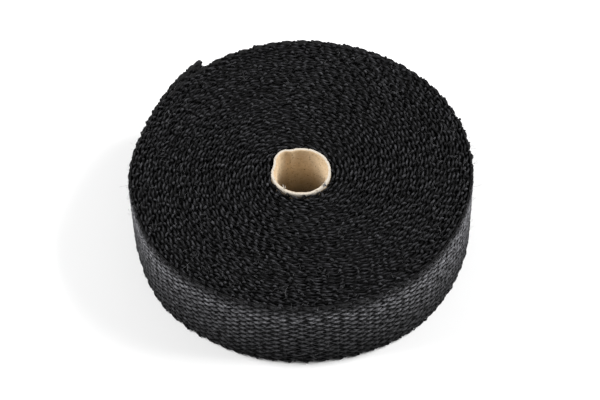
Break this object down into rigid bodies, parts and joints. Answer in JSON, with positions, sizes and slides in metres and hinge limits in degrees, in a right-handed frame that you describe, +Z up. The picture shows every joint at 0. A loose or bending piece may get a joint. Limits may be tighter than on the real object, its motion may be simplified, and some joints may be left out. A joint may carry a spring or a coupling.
{
  "type": "exhaust heat wrap",
  "caption": "Roll of woven glass-fibre heat-insulating tape, lying on its end and wound on a cardboard core, with a lifted free end.",
  "frame": {"origin": "at the middle of the roll, at the level of the floor that it lies on; the core sits 2.7 mm off it, toward -Y", "axes": "+Z up along the core's axis; the tape's free end is at the upper left in plan, 126 degrees anticlockwise from +X"},
  "size_m": [0.184, 0.183, 0.051],
  "materials": {
    "black_glass_fibre": "coarse plain weave, dull with a slight glint on the yarns",
    "cream_cardboard": "matt, cream at the cut edge and tan inside"
  },
  "bodies": {
    "root": {"heat_wrap_roll": "black_glass_fibre", "cardboard_core": "cream_cardboard"}
  },
  "joints": []
}
